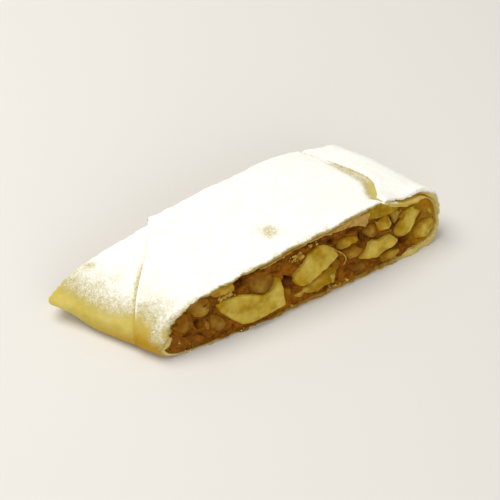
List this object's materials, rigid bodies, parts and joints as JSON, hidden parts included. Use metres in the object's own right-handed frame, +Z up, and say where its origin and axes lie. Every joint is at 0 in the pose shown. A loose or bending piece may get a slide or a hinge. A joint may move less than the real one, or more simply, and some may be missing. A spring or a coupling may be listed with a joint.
{
  "type": "slice of apple strudel",
  "caption": "Flat slice of apple strudel cut slantwise across the roll: sugared dough wrapped round a moist chopped apple filling that shows at the long cut faces.",
  "frame": {"origin": "middle of the footprint of the slice's box, on the surface that it rests on", "axes": "+X along the cut faces towards the thicker end, +Y from the front cut to the back cut, +Z up"},
  "size_m": [0.1641, 0.0532, 0.033],
  "materials": {
    "pastry": "baked yellow dough, dry and slightly silky on top, soaked and brown at the bottom and where layers lie on each other",
    "icing_sugar": "fine dull white powder with small clumps, thin and speckled towards the edges",
    "filling": "wet brown apple and cinnamon mash with dark hollows",
    "apple": "cooked apple pieces, yellow-green to brown, moist and slightly see-through",
    "raisin": "dark brown wrinkled raisins, moist"
  },
  "bodies": {
    "root": {"pastry": "pastry", "filling": "filling"}
  },
  "joints": []
}
